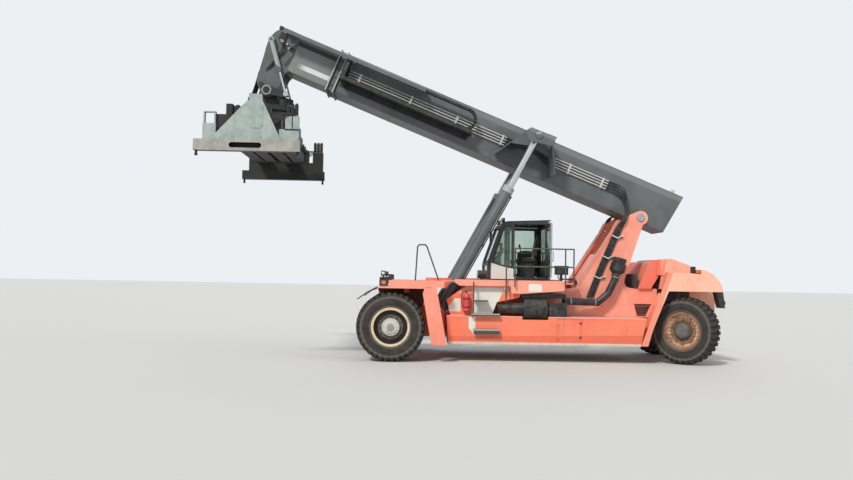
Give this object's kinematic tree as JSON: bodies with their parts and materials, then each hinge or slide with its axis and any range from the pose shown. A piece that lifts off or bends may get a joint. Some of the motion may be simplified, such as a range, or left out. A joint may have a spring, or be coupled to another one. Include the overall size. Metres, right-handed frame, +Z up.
{
  "type": "reach stacker",
  "caption": "Container handler with a telescopic boom over a mid-mounted cab, a rotating telescopic spreader, twin front wheels and steered rear wheels.",
  "frame": {"origin": "on the ground, under the middle of the whole machine's length, from the spreader's front edge to the counterweight's tail, on the machine's centre line", "axes": "+X towards the tail (the machine drives towards -X), -Y is the machine's left side, +Z up"},
  "size_m": [12.54, 6.073, 8.2952],
  "materials": {
    "bare_steel": "polished",
    "black_paint": "satin",
    "black_plastic": "matt",
    "black_rubber": "matt",
    "cast_grey": "matt",
    "grey_paint": "satin",
    "pale_paint": "satin",
    "red_paint": "satin",
    "rim_paint": "matt",
    "seat_fabric": "woven",
    "tinted_glass": "clear",
    "tyre": "matt"
  },
  "bodies": {
    "chassis": {"chassis_frame": "red_paint", "front_fenders": "red_paint", "axles": "black_paint", "side_boxes": "red_paint", "tower": "red_paint", "counterweight": "red_paint", "engine_hood": "red_paint", "engine_block": "cast_grey", "deck_rails": "black_paint", "air_intake": "black_plastic", "work_lamps": "black_plastic", "tower_hoses": "black_rubber"},
    "side_hatch": {"side_hatch": "red_paint"},
    "front_left_wheels": {"front_left_rims": "rim_paint", "front_left_tyres": "tyre"},
    "front_right_wheels": {"front_right_rims": "rim_paint", "front_right_tyres": "tyre"},
    "left_steering_knuckle": {"left_knuckle": "black_paint"},
    "right_steering_knuckle": {"right_knuckle": "black_paint"},
    "rear_left_wheel": {"rear_left_rim": "rim_paint", "rear_left_tyre": "tyre"},
    "rear_right_wheel": {"rear_right_rim": "rim_paint", "rear_right_tyre": "tyre"},
    "cab": {"cab_shell": "grey_paint", "cab_glass": "tinted_glass", "seat": "seat_fabric", "cab_console": "black_plastic"},
    "left_door": {"left_door": "grey_paint", "left_door_glass": "tinted_glass"},
    "right_door": {"right_door": "grey_paint", "right_door_glass": "tinted_glass"},
    "boom": {"outer_boom": "grey_paint", "boom_pipes": "pale_paint", "energy_chain": "black_rubber"},
    "inner_boom": {"inner_boom": "grey_paint", "boom_head": "grey_paint"},
    "lift_barrels": {"lift_barrels": "grey_paint"},
    "lift_rods": {"lift_rods": "bare_steel"},
    "damper_barrels": {"damper_barrels": "grey_paint"},
    "damper_rods": {"damper_rods": "bare_steel"},
    "yoke": {"yoke": "grey_paint"},
    "slew_frame": {"slew_frame": "grey_paint"},
    "spreader": {"spreader_frame": "pale_paint"},
    "left_end": {"left_end_beam": "pale_paint"},
    "right_end": {"right_end_beam": "pale_paint"}
  },
  "joints": [
    {"name": "front_left_wheels_turn", "type": "hinge", "parent": "chassis", "child": "front_left_wheels", "pos_m": [-1.83004, -1.78, 0.81], "axis": [0, 1, 0], "continuous": true},
    {"name": "front_right_wheels_turn", "type": "hinge", "parent": "chassis", "child": "front_right_wheels", "pos_m": [-1.83004, 1.78, 0.81], "axis": [0, 1, 0], "continuous": true},
    {"name": "steer_left", "type": "hinge", "parent": "chassis", "child": "left_steering_knuckle", "pos_m": [5.34996, -1.3, 0.81], "axis": [0, 0, 1], "range_deg": [0, 80]},
    {"name": "steer_right", "type": "hinge", "parent": "chassis", "child": "right_steering_knuckle", "pos_m": [5.34996, 1.3, 0.81], "axis": [0, 0, 1], "range_deg": [-1, 81]},
    {"name": "rear_left_wheel_turn", "type": "hinge", "parent": "left_steering_knuckle", "child": "rear_left_wheel", "pos_m": [5.34996, -1.3, 0.81], "axis": [0.6428, 0.766, 0], "continuous": true},
    {"name": "rear_right_wheel_turn", "type": "hinge", "parent": "right_steering_knuckle", "child": "rear_right_wheel", "pos_m": [5.34996, 1.3, 0.81], "axis": [0.6428, 0.766, 0], "continuous": true},
    {"name": "cab_slide", "type": "slide", "parent": "chassis", "child": "cab", "axis": [-1, 0, 0], "range_m": [0, 1.2]},
    {"name": "left_door_swing", "type": "hinge", "parent": "cab", "child": "left_door", "pos_m": [2.01196, -0.826, 0], "axis": [0, 0, 1], "range_deg": [-90, 0]},
    {"name": "right_door_swing", "type": "hinge", "parent": "cab", "child": "right_door", "pos_m": [2.01196, 0.826, 0], "axis": [0, 0, -1], "range_deg": [0, 90]},
    {"name": "side_hatch_swing", "type": "hinge", "parent": "chassis", "child": "side_hatch", "pos_m": [2.12496, -1.634, 0], "axis": [0, 0, -1], "range_deg": [0, 110]},
    {"name": "boom_lift", "type": "hinge", "parent": "chassis", "child": "boom", "pos_m": [4.31996, 0, 3.55], "axis": [0, -1, 0], "range_deg": [-38, 22]},
    {"name": "boom_extend", "type": "slide", "parent": "boom", "child": "inner_boom", "axis": [-0.9272, 0, 0.3746], "range_m": [0, 6.9]},
    {"name": "spreader_tilt", "type": "hinge", "parent": "inner_boom", "child": "yoke", "pos_m": [-5.08996, 0, 6.62061], "axis": [0, -1, 0], "range_deg": [-23, 39]},
    {"name": "damper_swing", "type": "hinge", "parent": "inner_boom", "child": "damper_barrels", "pos_m": [-4.9903, 0, 7.88969], "axis": [0, -1, 0], "range_deg": [-3.2, 5.2]},
    {"name": "damper_stroke", "type": "slide", "parent": "damper_barrels", "child": "damper_rods", "axis": [0.2723, 0, -0.9622], "range_m": [-0.32, 0.19]},
    {"name": "lift_cylinder_swing", "type": "hinge", "parent": "chassis", "child": "lift_barrels", "pos_m": [-0.67004, 0, 1.15], "axis": [0, -1, 0], "range_deg": [-7, 4.5]},
    {"name": "lift_cylinder_stroke", "type": "slide", "parent": "lift_barrels", "child": "lift_rods", "axis": [0.4777, 0, 0.8785], "range_m": [-1.2, 2.06]},
    {"name": "spreader_rotate", "type": "hinge", "parent": "yoke", "child": "slew_frame", "pos_m": [-5.08996, 0, 0], "axis": [0, 0, 1], "range_deg": [-195, 105]},
    {"name": "spreader_side_shift", "type": "slide", "parent": "slew_frame", "child": "spreader", "axis": [0, 1, 0], "range_m": [-0.8, 0.8]},
    {"name": "left_telescope", "type": "slide", "parent": "spreader", "child": "left_end", "axis": [0, -1, 0], "range_m": [0, 3.04]},
    {"name": "right_telescope", "type": "slide", "parent": "spreader", "child": "right_end", "axis": [0, 1, 0], "range_m": [0, 3.04]}
  ],
  "couplings": [
    {"joint": "steer_right", "follows": "steer_left", "ratio": 1},
    {"joint": "spreader_tilt", "follows": "boom_lift", "ratio": -1},
    {"joint": "damper_swing", "follows": "boom_lift", "ratio": -0.12},
    {"joint": "damper_stroke", "follows": "boom_lift", "m_per_rad": 0.45837},
    {"joint": "lift_cylinder_swing", "follows": "boom_lift", "ratio": 0.17},
    {"joint": "lift_cylinder_stroke", "follows": "boom_lift", "m_per_rad": -3.0653}
  ]
}
